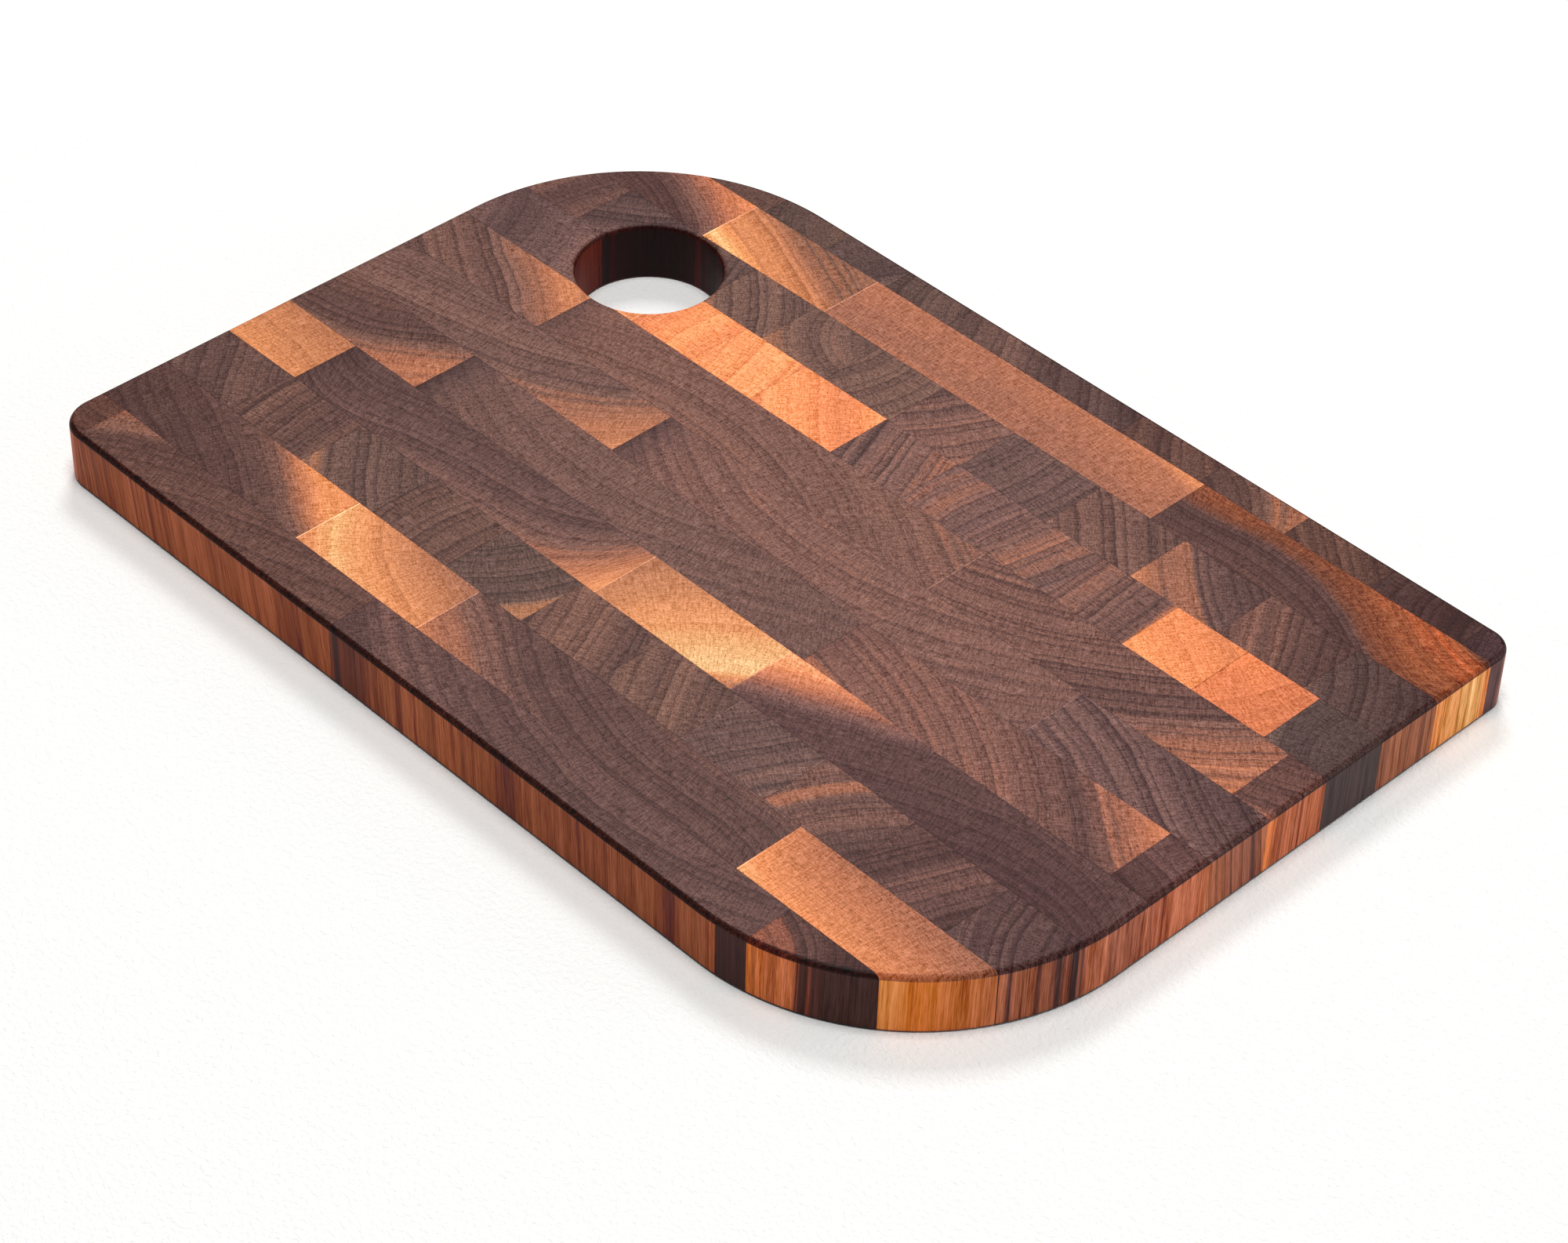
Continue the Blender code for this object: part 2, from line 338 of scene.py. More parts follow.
# Blocks that darken towards their left end, by how much; below zero they lighten.
LEFT_STAINS = {"e02": 7, "f02": 12, "g02": 12, "h02": 7, "g03": 4, "j04": -7}
STAIN_FADE = -0.14  # per millimetre
# How much lighter or darker a block's side is than its end.
SIDE_SHIFTS = {
    "a11": 8, "b04": 30, "c12": 18, "d01": 12, "d12": -4, "e04": 14, "f03": 10, "g04": 19,
    "h04": 13, "i11": 7, "k01": 10, "k02": 9, "k03": 7, "k04": -4,
}
# How much more a block's side varies than its end.
SIDE_GAINS = {"b04": 1.0, "i11": 2.3, "j04": 1.0, "k04": 2.2}
SIDE_GAIN = 1.4  # for the other blocks
SIDE_MIDDLE = 36.0  # the lightness that the sides vary around
# Blocks whose sapwood has a colour of its own, as a factor on red, green and blue.
SAPWOOD_TINTS = {"b04": (1.38, 0.79, 0.30), "k04": (1.31, 0.91, 0.69)}
SAPWOOD_START, SAPWOOD_FULL = 33.0, 42.0  # the lightness where it sets in
# What one step of lean to red or to yellow adds to those factors.
RED_STEP, YELLOW_STEP = (0.020, -0.010, -0.006), (0.008, 0.0, -0.045)
# Blocks whose side is dark in the last millimetres of their right end, by how much.
DARK_ENDS = {"k03": 32}
DARK_END_START, DARK_END_FULL = 12.0, 10.5  # millimetres from the right end
RIM_PAINTED_SHADE = (0.46, 0.18, 0.09)  # painted shade on the rounded rims, where the flat top's sheen is missing and less light falls
SHORT_SIDE_RIM_SHADE = 0.22  # how much of that painted rim shade the rims of the two short sides get
DARK_WOOD_RIM_SHADE = (62.0, 42.0, 0.0, -0.45)  # from light to dark wood, how much darker the painted rim shade gets
# Painted shade inside the hole: how much darker the bore's wall is painted.
BORE_SHADE_SHIFT = -14.0
BORE_PAINTED_SHADE = (0.30, 0.10, 0.08)  # painted shade inside the hole, on the bore's wall and its rounded rim
BORE_WALL = (1.6, 0.4)  # from outside to inside the wall, in millimetres past the hole's radius
BORE_RIM = (3.2, 2.6)  # the same for its rounded rim
SHORT_SIDE_PAINTED_SHEEN = 0.03  # painted sheen: the two short sides are a little paler than the long ones, for the reflection they show
# How light the glue line at a block's left end is; below zero it is darker than the wood.
LEFT_GLUE = {
    "b02": 14, "b03": 16, "e03": 16, "f03": 12, "h03": 16, "h04": 10, "j02": 16, "j03": 24,
    "j04": 6, "d11": -10, "i08": 6,
}
PLAIN_GLUE = -4.0  # the same for the other blocks
LEFT_GLUE_EDGE = (0.55, 0.25)  # from clean wood to glue, in millimetres from the joint
LEFT_GLUE_TONE, LEFT_GLUE_SHADE = 0.3, 0.7  # its shares of the colour and of the shade
SEAM_TONE = -6.0  # the glue lines on a block's other sides
SEAM_EDGE = (0.30, 0.08)

# Lightness to colour, for the wood seen on its end and on its side.
END_GRAIN = (
    (18, (0.013, 0.005, 0.004)),
    (26, (0.041, 0.010, 0.008)),
    (30, (0.060, 0.021, 0.018)),
    (34, (0.082, 0.034, 0.028)),
    (38, (0.112, 0.048, 0.038)),
    (42, (0.150, 0.064, 0.048)),
    (46, (0.193, 0.083, 0.059)),
    (50, (0.272, 0.097, 0.054)),
    (54, (0.339, 0.118, 0.062)),
    (58, (0.423, 0.139, 0.062)),
    (62, (0.501, 0.167, 0.070)),
    (66, (0.587, 0.198, 0.078)),
    (70, (0.690, 0.231, 0.085)),
    (74, (0.759, 0.278, 0.104)),
    (78, (0.784, 0.344, 0.132)),
    (88, (0.920, 0.512, 0.228)),
)
SIDE_GRAIN = (
    (18, (0.045, 0.006, 0.003)),
    (27, (0.075, 0.009, 0.003)),
    (31, (0.185, 0.028, 0.004)),
    (34, (0.265, 0.047, 0.006)),
    (37, (0.345, 0.076, 0.013)),
    (40, (0.400, 0.088, 0.020)),
    (43, (0.500, 0.120, 0.024)),
    (50, (0.560, 0.145, 0.034)),
    (56, (0.700, 0.180, 0.020)),
    (62, (0.840, 0.213, 0.008)),
    (68, (0.930, 0.340, 0.070)),
    (74, (0.930, 0.440, 0.110)),
    (80, (0.930, 0.530, 0.150)),
    (88, (0.930, 0.700, 0.240)),
)
TONE_LOW, TONE_HIGH = 18.0, 88.0
GREY_SHARE = 0.35  # how much of the fine grain changes the lightness alone
GREY_WEIGHTS = (0.3, 0.6, 0.1)
BLACKEST = (0.002, 0.002, 0.002)
SHADE_STEP, DARKEST_SHADE = 0.055, 0.2  # the shade for each step of fine grain, and its floor
WHITE = (1.0, 1.0, 1.0)

# The parts of the surface, told apart by how far they face up or down, from 0 to 1.
END_FACING = (0.02, 0.22)  # from side grain to end grain
RIM_FACING = (0.9985, 0.93)  # from the flat top to its rounded rim
BORE_RIM_FACING = (0.93, 0.55)
SHORT_SIDE_FACING = (0.35, 0.95)  # from the long sides to the short ones
LEAST_OUTWARD = 1e-4  # keeps a division by zero off the flat top

# The growth wanders by two noises: the height in millimetres, the scale and the detail.
WIDE_WANDER = (2.6, 0.045, 1.0)
FINE_WANDER = (0.9, 0.22, 2.0)
FIBRE_STRETCH = 0.05  # how much slower the grain changes along the fibres than across them
LEAST_TURN = 0.3  # keeps the rays apart at the centre of the rings

# The rings: bands of light and dark, and in each ring a thin line of dark late wood.
BAND_STRENGTH, BAND_DETAIL, BAND_ROUGHNESS = 9.5, 3.0, 0.7
UNEVENNESS, UNEVEN_PACE = 2.2, 0.45  # how much and how fast the rings' widths vary
LATE_STRENGTH, LATE_SHARPNESS, LATE_END = -4.0, 3.0, 0.88
LATE_BY_LIGHTNESS = (45.0, 62.0, 1.3, 0.35)  # light wood has less of it
RING_BALANCE = 0.7  # keeps the average lightness
RING_TONE, RING_SHADE = 0.55, 0.45  # the rings' shares of the colour and of the shade

# The grain's noises: the scale, the detail and the roughness.
CROSS_NOISE = (1.0, 2.0, 0.7)  # for rays and lines, at these paces around and along the growth
RAY_PACE, LINE_PACE = (1.5, 0.2), (0.35, 2.2)
MOTTLE_NOISE = (0.9, 2.0, 0.6)
GRAIN_NOISE = (2.4, 2.0, 0.7)
CLOUD_NOISE = (0.09, 2.0, 0.5)
STREAK_NOISE = (0.33, 2.0, 0.7)
PORE_SCALE, PORE_EDGE = 1.3, (0.30, 0.12)
PORES_BY_CLOUD = (0.06, -0.10, 0.3, 1.0)

# How much they change the lightness.
CLOUD_STRENGTH = 6.0
RAY_STRENGTH, LINE_STRENGTH, MOTTLE_STRENGTH, GRAIN_STRENGTH = 20.0, 20.0, 11.0, 23.0
PORE_STRENGTH = -2.5
FINE_BY_LIGHTNESS = (36.0, 66.0, 2.3, 1.3)  # dark wood has more of them
SIDE_FINE, SIDE_STREAKS, SIDE_LATE = -0.4, 22.0, -1.0  # added on the sides
SIDE_DARK_STREAKS, SIDE_DARK_EDGE = -5.0, (-0.12, -0.24)

# Roughness and relief, and how much the grain changes them.
ROUGHNESS, ROUGH_MOTTLE, ROUGH_GRAIN, ROUGH_PORE = 0.50, 0.2, 0.15, 0.12
RELIEF_PORE, RELIEF_MOTTLE, RELIEF_GRAIN, RELIEF_LATE = -0.6, 0.6, 0.6, 0.2
RELIEF_STRENGTH, RELIEF_HEIGHT = 0.35, 0.00006
WOOD_IOR, WOOD_SPECULAR = 1.5, 0.12


# ---------------------------------------------------------------- shapes


def outline():
    """The board's outline, anticlockwise, in millimetres."""
    corners = (
        (-1, -1, FRONT_LEFT_RADIUS, TIGHT_STEPS, 180),
        (1, -1, WIDE_RADIUS, WIDE_STEPS, 270),
        (1, 1, BACK_RIGHT_RADIUS, TIGHT_STEPS, 0),
        (-1, 1, WIDE_RADIUS, WIDE_STEPS, 90),
    )
    points = []
    for side_x, side_y, radius, steps, start in corners:
        for step in range(steps + 1):
            angle = math.radians(start + 90 * step / steps)
            points.append(
                (
                    side_x * (LENGTH / 2 - radius) + radius * math.cos(angle),
                    side_y * (WIDTH / 2 - radius) + radius * math.sin(angle),
                )
            )
    return points


def new_object(name, mesh):
    made = bpy.data.objects.new(name, mesh)
    bpy.context.scene.collection.objects.link(made)
    return made


def baked(source):
    """The object's shape with its modifiers applied, as a new mesh."""
    bpy.context.view_layer.update()
    return bpy.data.meshes.new_from_object(
        source.evaluated_get(bpy.context.evaluated_depsgraph_get())
    )


def blank_board():
    """The whole board in one piece, with its rims rounded and its hole drilled."""
    mesh = bpy.data.meshes.new("blank")
    edit = bmesh.new()
    rim = [edit.verts.new((x * MM, y * MM, 0.0)) for x, y in outline()]
    face = edit.faces.new(rim)
    top = bmesh.ops.extrude_face_region(edit, geom=[face])["geom"]
    for vertex in (g for g in top if isinstance(g, bmesh.types.BMVert)):
        vertex.co.z = THICKNESS * MM
    bmesh.ops.recalc_face_normals(edit, faces=edit.faces)
    edit.to_mesh(mesh)
    edit.free()

    weights = mesh.attributes.new("bevel_weight_edge", "FLOAT", "EDGE")
    for edge in mesh.edges:
        heights = [mesh.vertices[index].co.z for index in edge.vertices]
        if min(heights) > THICKNESS * MM / 2:
            weights.data[edge.index].value = 1.0
        elif max(heights) < THICKNESS * MM / 2:
            weights.data[edge.index].value = BOTTOM_ROUNDOVER / TOP_ROUNDOVER
    blank = new_object("blank", mesh)
    bevel = blank.modifiers.new("roundover", "BEVEL")
    bevel.limit_method = "WEIGHT"
    bevel.width = TOP_ROUNDOVER * MM
    bevel.segments = ROUNDOVER_STEPS

    plug = hole_plug()
    drill = blank.modifiers.new("hole", "BOOLEAN")
    drill.operation = "DIFFERENCE"
    drill.solver = "EXACT"
    drill.object = plug
    shape = baked(blank)
    bpy.data.objects.remove(plug)
    bpy.data.objects.remove(blank)
    return new_object("blank", shape)


def rim_profile(rim):
    """Radius and height down one end of the plug, from clear of the board to the straight bore."""
    profile = [(HOLE_RADIUS + rim, PLUG_OVERHANG)]
    for step in range(ROUNDOVER_STEPS + 1):
        angle = math.radians(90 * step / ROUNDOVER_STEPS)
        profile.append(
            (HOLE_RADIUS + rim * (1 - math.sin(angle)), -rim * (1 - math.cos(angle)))
        )
    return profile


def hole_plug():
    """A round plug that flares at both ends, to drill the hole and round its rims."""
    profile = rim_profile(TOP_ROUNDOVER)
    lower = rim_profile(BOTTOM_ROUNDOVER)
    profile += [(radius, -THICKNESS - height) for radius, height in reversed(lower)]
    mesh = bpy.data.meshes.new("plug")
    edit = bmesh.new()
    rings = []
    for radius, height in profile:
        rings.append(
            [
                edit.verts.new(
                    (
                        (HOLE_X + radius * math.cos(2 * math.pi * side / HOLE_SIDES)) * MM,
                        (HOLE_Y + radius * math.sin(2 * math.pi * side / HOLE_SIDES)) * MM,
                        (THICKNESS + height) * MM,
                    )
                )
                for side in range(HOLE_SIDES)
            ]
        )
    for upper, lower in zip(rings, rings[1:]):
        for side in range(HOLE_SIDES):
            after = (side + 1) % HOLE_SIDES
            edit.faces.new((upper[side], upper[after], lower[after], lower[side]))
    edit.faces.new(rings[0])
    edit.faces.new(rings[-1])
    bmesh.ops.recalc_face_normals(edit, faces=edit.faces)
    edit.to_mesh(mesh)
    edit.free()
    return new_object("plug", mesh)


def strip_edges(letter):
    """The front and back glue line of a strip, or the board's edge, along Y."""
    row = ord(letter) - ord("a")
    back = WIDTH / 2 if letter == "a" else BACK_GLUE_LINE - (row - 1) * STRIP_HEIGHT
    front = -WIDTH / 2 if letter == "k" else BACK_GLUE_LINE - row * STRIP_HEIGHT
    return front, back


def block_mesh(name, left, right, front, back, blank):
    """One block: a box between its joints, cut to the board's outline, rims and hole."""
    low = (
        left - (BLOCK_OVERHANG if left <= -LENGTH / 2 else 0),
        front - (BLOCK_OVERHANG if front <= -WIDTH / 2 else 0),
        -BLOCK_OVERHANG,
    )
    high = (
        right + (BLOCK_OVERHANG if right >= LENGTH / 2 else 0),
        back + (BLOCK_OVERHANG if back >= WIDTH / 2 else 0),
        THICKNESS + BLOCK_OVERHANG,
    )
    mesh = bpy.data.meshes.new(name)
    edit = bmesh.new()
    bmesh.ops.create_cube(edit, size=1.0)
    for vertex in edit.verts:
        vertex.co = Vector(
            [(low[i] if vertex.co[i] < 0 else high[i]) * MM for i in range(3)]
        )
    edit.to_mesh(mesh)
    edit.free()
    box = new_object(name, mesh)
    trim = box.modifiers.new("trim", "BOOLEAN")
    trim.operation = "INTERSECT"
    trim.solver = "EXACT"
    trim.object = blank
    shape = baked(box)
    bpy.data.objects.remove(box)

    edit = bmesh.new()
    edit.from_mesh(shape)
    bmesh.ops.remove_doubles(edit, verts=edit.verts, dist=WELD_DISTANCE)
    bmesh.ops.dissolve_degenerate(edit, edges=edit.edges, dist=WELD_DISTANCE)
    edit.to_mesh(shape)
    edit.free()
    shape.shade_smooth()
    shape.set_sharp_from_angle(angle=math.radians(SHARP_ANGLE))
    return shape


# ---------------------------------------------------------------- materials


class Graph:
    """Small helpers that add nodes to a tree and link them."""

    def __init__(self, tree):
        self.tree = tree

    def add(self, kind, inputs=(), **settings):
        node = self.tree.nodes.new(kind)
        for key, value in settings.items():
            setattr(node, key, value)
        pairs = inputs.items() if isinstance(inputs, dict) else enumerate(inputs)
        for key, value in pairs:
            if value is None:
                continue
            if isinstance(value, bpy.types.NodeSocket):
                self.tree.links.new(value, node.inputs[key])
            else:
                node.inputs[key].default_value = value
        return node

    def math(self, operation, *values, clamp=False):
        return self.add(
            "ShaderNodeMath", values, operation=operation, use_clamp=clamp
        ).outputs[0]

    def vector(self, operation, *values):
        node = self.add("ShaderNodeVectorMath", values, operation=operation)
        return node.outputs["Value" if operation in ("DOT_PRODUCT", "LENGTH") else "Vector"]

    def spread(self, value, low, high, new_low=0.0, new_high=1.0, smooth=True):
        """Maps low..high to new_low..new_high, held at both ends."""
        return self.add(
            "ShaderNodeMapRange",
            {0: value, 1: low, 2: high, 3: new_low, 4: new_high},
            interpolation_type="SMOOTHSTEP" if smooth else "LINEAR",
        ).outputs[0]

    def noise(self, vector, scale, detail=2.0, roughness=0.5):
        """Noise about zero, from about -0.5 to 0.5."""
        value = self.add(
            "ShaderNodeTexNoise",
            {"Vector": vector, "Scale": scale, "Detail": detail, "Roughness": roughness},
        ).outputs[0]
        return self.math("SUBTRACT", value, 0.5)

    def line_noise(self, along, detail=2.0, roughness=0.5):
        value = self.add(
            "ShaderNodeTexNoise",
            {"W": along, "Scale": 1.0, "Detail": detail, "Roughness": roughness},
            noise_dimensions="1D",
        ).outputs[0]
        return self.math("SUBTRACT", value, 0.5)

    def ramp(self, value, stops):
        node = self.add("ShaderNodeValToRGB", {0: value})
        elements = node.color_ramp.elements
        while len(elements) > 1:
            elements.remove(elements[-1])
        for index, (place, colour) in enumerate(stops):
            element = elements[0] if index == 0 else elements.new(place)
            element.position = place
            element.color = (*colour, 1.0)
        return node.outputs[0]

    def bump(self, height, strength, distance):
        return self.add(
            "ShaderNodeBump", {"Strength": strength, "Distance": distance, "Height": height}
        ).outputs[0]

    def sum(self, *values):
        total = values[0]
        for value in values[1:]:
            total = self.math("ADD", total, value)
        return total

    def weighed(self, *pairs):
        """The sum of values, each times its weight."""
        return self.sum(*(self.math("MULTIPLY", value, weight) for value, weight in pairs))

    def split(self, vector):
        return self.add("ShaderNodeSeparateXYZ", {0: vector}).outputs

    def join(self, *parts):
        return self.add("ShaderNodeCombineXYZ", parts).outputs[0]

    def scaled(self, vector, factor):
        return self.add(
            "ShaderNodeVectorMath", {"Vector": vector, "Scale": factor}, operation="SCALE"
        ).outputs["Vector"]

    def mix(self, factor, first, second):
        """From the first colour at 0 to the second at 1."""
        node = self.add("ShaderNodeMix", {0: factor}, data_type="RGBA")
        for socket, value in zip([s for s in node.inputs if s.type == "RGBA"], (first, second)):
            if isinstance(value, bpy.types.NodeSocket):
                self.tree.links.new(value, socket)
            else:
                socket.default_value = (*value, 1.0)
        return next(s for s in node.outputs if s.type == "RGBA")


def new_group(name, inputs, outputs):
    tree = bpy.data.node_groups.new(name, "ShaderNodeTree")
    for socket, kind, value in inputs:
        made = tree.interface.new_socket(socket, in_out="INPUT", socket_type=kind)
        if value is not None:
            made.default_value = value
    for socket, kind in outputs:
        tree.interface.new_socket(socket, in_out="OUTPUT", socket_type=kind)
    graph = Graph(tree)
    return tree, graph, graph.add("NodeGroupInput").outputs, graph.add("NodeGroupOutput").inputs


FLOAT, VECTOR, COLOUR = "NodeSocketFloat", "NodeSocketVector", "NodeSocketColor"


def ring_group():
    """Where a point lies in the block's growth: out along the rings, and along a ring."""
    tree, g, given, out = new_group(
        "walnut_growth",
        [
            ("Centre", VECTOR, None),
            ("Across", VECTOR, None),
            ("Along", VECTOR, None),
            ("Bend", FLOAT, 0.0),
            ("Skew", FLOAT, 0.0),
            ("Curl", FLOAT, 0.0),
            ("Lean", VECTOR, None),
            ("Seed", VECTOR, None),
        ],
        [("Growth", FLOAT), ("Round", FLOAT), ("Fibre", VECTOR), ("Place", VECTOR)],
    )
    place = g.scaled(g.add("ShaderNodeTexCoord").outputs["Object"], 1 / MM)
    height = g.math("SUBTRACT", g.split(place)[2], THICKNESS)
    leant = g.vector("ADD", place, g.scaled(given["Lean"], height))
    local = g.vector("SUBTRACT", leant, given["Centre"])
    flat = g.vector("MULTIPLY", local, (1.0, 1.0, 0.0))
    across = g.vector("DOT_PRODUCT", flat, given["Across"])
    along = g.vector("DOT_PRODUCT", flat, given["Along"])
    square = g.math("MULTIPLY", along, along)
    cube = g.math("MULTIPLY", square, along)
    fourth = g.math("MULTIPLY", square, square)
    bend = g.math("MULTIPLY", square, g.math("MULTIPLY", given["Bend"], 1 / 2))
    skew = g.math("MULTIPLY", cube, g.math("MULTIPLY", given["Skew"], 1 / 6))
    curl = g.math("MULTIPLY", fourth, g.math("MULTIPLY", given["Curl"], 1 / 24))
    seeded = g.vector("ADD", leant, given["Seed"])
    stretched = g.vector("MULTIPLY", seeded, (1.0, 1.0, FIBRE_STRETCH))
    wander = [
        g.math("MULTIPLY", g.noise(stretched, scale, detail), strength)
        for strength, scale, detail in (WIDE_WANDER, FINE_WANDER)
    ]
    growth = g.sum(across, bend, skew, curl, *wander)
    turn = g.math("ADD", 1.0, g.math("MULTIPLY", given["Bend"], across))
    around = g.math("DIVIDE", along, g.math("MAXIMUM", turn, LEAST_TURN))
    g.tree.links.new(growth, out["Growth"])
    g.tree.links.new(around, out["Round"])
    g.tree.links.new(stretched, out["Fibre"])
    g.tree.links.new(place, out["Place"])
    return tree


def ring_tones(g, given):
    """How the rings change the lightness, and how much of the late wood is here."""
    rings = g.math("DIVIDE", given["Growth"], given["Pitch"])
    bands = g.line_noise(rings, BAND_DETAIL, BAND_ROUGHNESS)
    uneven = g.line_noise(g.math("MULTIPLY", rings, UNEVEN_PACE), 0.0)
    in_ring = g.math("FRACT", g.math("ADD", rings, g.math("MULTIPLY", uneven, UNEVENNESS)))
    late = g.math("POWER", in_ring, LATE_SHARPNESS)
    late = g.math("MULTIPLY", late, g.spread(in_ring, 1.0, LATE_END))
    late = g.math("MULTIPLY", late, g.spread(given["Lightness"], *LATE_BY_LIGHTNESS))
    grown = g.weighed((bands, BAND_STRENGTH), (late, LATE_STRENGTH))
    grown = g.math("MULTIPLY", g.math("ADD", grown, RING_BALANCE), given["Depth"])
    return grown, late


def crossed_noise(g, given, pace):
    """Noise drawn out by its paces around the rings and along the growth."""
    around, outward = pace
    place = g.join(
        g.math("MULTIPLY", given["Round"], around), g.math("MULTIPLY", given["Growth"], outward)
    )
    return g.noise(place, *CROSS_NOISE)


def pore_shares(g, fibre, clouds):
    """The pores, fainter where the clouds are light."""
    distance = g.add(
        "ShaderNodeTexVoronoi", {"Vector": fibre, "Scale": PORE_SCALE}, feature="F1"
    ).outputs["Distance"]
    return g.math(
        "MULTIPLY", g.spread(distance, *PORE_EDGE), g.spread(clouds, *PORES_BY_CLOUD)
    )


def surface_group():
    """From the wood's lightness to its colour, roughness and relief; the colour also holds painted
    shade on the rims and in the hole, and a painted sheen on the short sides.
    """
    tree, g, given, out = new_group(
        "walnut_surface",
        [
            ("Lightness", FLOAT, 0.5),
            ("Growth", FLOAT, 0.0),
            ("Round", FLOAT, 0.0),
            ("Fibre", VECTOR, None),
            ("Place", VECTOR, None),
            ("Pitch", FLOAT, 4.0),
            ("Depth", FLOAT, 2.0),
            ("Low", VECTOR, None),
            ("High", VECTOR, None),
            ("Stain", FLOAT, 0.0),
            ("Left Glue", FLOAT, 0.0),
            ("Tint", VECTOR, None),
            ("Sapwood Tint", VECTOR, None),
            ("Side Shift", FLOAT, 0.0),
            ("Side Gain", FLOAT, 1.0),
            ("Dark End", FLOAT, 0.0),
        ],
        [("Colour", COLOUR), ("Roughness", FLOAT), ("Normal", VECTOR)],
    )
    light = given["Lightness"]
    fibre = given["Fibre"]
    grown, late = ring_tones(g, given)
    rays = crossed_noise(g, given, RAY_PACE)
    lines = crossed_noise(g, given, LINE_PACE)
    mottle = g.noise(fibre, *MOTTLE_NOISE)
    grain = g.noise(fibre, *GRAIN_NOISE)
    clouds = g.noise(fibre, *CLOUD_NOISE)
    pore = pore_shares(g, fibre, clouds)
    streaks = g.noise(fibre, *STREAK_NOISE)

    # Which part of the surface this is.
    normal = g.split(g.add("ShaderNodeNewGeometry").outputs["Normal"])
    facing = g.math("ABSOLUTE", normal[2])
    facing_short_side = g.math("ABSOLUTE", normal[0])
    on_end = g.spread(facing, *END_FACING)
    on_side = g.math("SUBTRACT", 1.0, on_end)
    from_bore = g.vector("SUBTRACT", given["Place"], (HOLE_X, HOLE_Y, 0.0))
    from_bore = g.vector("LENGTH", g.vector("MULTIPLY", from_bore, (1.0, 1.0, 0.0)))
    # Where the painted shade inside the hole goes: the bore's wall and its rounded rim.
    bore = g.math(
        "MULTIPLY", g.spread(from_bore, *(HOLE_RADIUS + out_by for out_by in BORE_WALL)), on_side
    )
    near_bore = g.spread(from_bore, *(HOLE_RADIUS + out_by for out_by in BORE_RIM))
    bore_rim_shade = g.math("MULTIPLY", g.spread(facing, *BORE_RIM_FACING), near_bore)
    # The painted rim shade: on the rounded rims away from the hole, weaker on the two short sides.
    rim = g.math(
        "MULTIPLY", g.spread(facing, *RIM_FACING), g.math("SUBTRACT", 1.0, near_bore)
    )
    rim = g.math("MULTIPLY", rim, on_end)
    outward = g.math("MULTIPLY_ADD", g.math("MULTIPLY", facing, facing), -1.0, 1.0)
    outward = g.math("SQRT", g.math("MAXIMUM", outward, LEAST_OUTWARD))
    to_short_side = g.math("DIVIDE", facing_short_side, outward)
    rim = g.math(
        "MULTIPLY", rim, g.spread(to_short_side, *SHORT_SIDE_FACING, 1.0, SHORT_SIDE_RIM_SHADE)
    )

    # The marks of the joints.
    place, low, high = (g.split(given[name]) for name in ("Place", "Low", "High"))
    from_left = g.math("SUBTRACT", place[0], low[0])
    from_right = g.math("SUBTRACT", high[0], place[0])
    from_front = g.math("SUBTRACT", place[1], low[1])
    from_back = g.math("SUBTRACT", high[1], place[1])
    stain = g.math(
        "MULTIPLY",
        g.math("EXPONENT", g.math("MULTIPLY", from_left, STAIN_FADE)),
        g.math("MULTIPLY", given["Stain"], -1.0),
    )
    seam = g.math("MINIMUM", g.math("MINIMUM", from_front, from_back), from_right)
    seam = g.math("MULTIPLY", g.spread(seam, *SEAM_EDGE), SEAM_TONE)
    left_seam = g.math("MULTIPLY", g.spread(from_left, *LEFT_GLUE_EDGE), given["Left Glue"])
    dark_end = g.math(
        "MULTIPLY", g.spread(from_right, DARK_END_START, DARK_END_FULL), given["Dark End"]
    )

    # The lightness, and the finer shade on it.
    tone = g.sum(
        light,
        g.math("MULTIPLY", grown, RING_TONE),
        g.math("MULTIPLY", clouds, CLOUD_STRENGTH),
        stain,
        seam,
        g.math("MULTIPLY", left_seam, LEFT_GLUE_TONE),
    )
    side_tone = g.sum(
        SIDE_MIDDLE,
        g.math("MULTIPLY", g.math("SUBTRACT", tone, SIDE_MIDDLE), given["Side Gain"]),
        given["Side Shift"],
        # painted shade inside the hole
        g.math("MULTIPLY", bore, BORE_SHADE_SHIFT),
        g.math("MULTIPLY", dark_end, -1.0),
    )
    fine = g.weighed(
        (rays, RAY_STRENGTH),
        (lines, LINE_STRENGTH),
        (mottle, MOTTLE_STRENGTH),
        (grain, GRAIN_STRENGTH),
        (pore, PORE_STRENGTH),
    )
    fine = g.math("MULTIPLY", fine, g.spread(light, *FINE_BY_LIGHTNESS))
    side_lines = g.weighed(
        (fine, SIDE_FINE),
        (streaks, SIDE_STREAKS),
        (g.spread(streaks, *SIDE_DARK_EDGE), SIDE_DARK_STREAKS),
        (g.math("MULTIPLY", late, given["Depth"]), SIDE_LATE),
    )
    fine = g.sum(
        g.math("MULTIPLY", grown, RING_SHADE),
        g.math("MULTIPLY", left_seam, LEFT_GLUE_SHADE),
        fine,
        g.math("MULTIPLY", side_lines, on_side),
    )
    shade = g.math("MAXIMUM", g.math("MULTIPLY_ADD", fine, SHADE_STEP, 1.0), DARKEST_SHADE)
    shade = g.math("SUBTRACT", shade, 1.0)

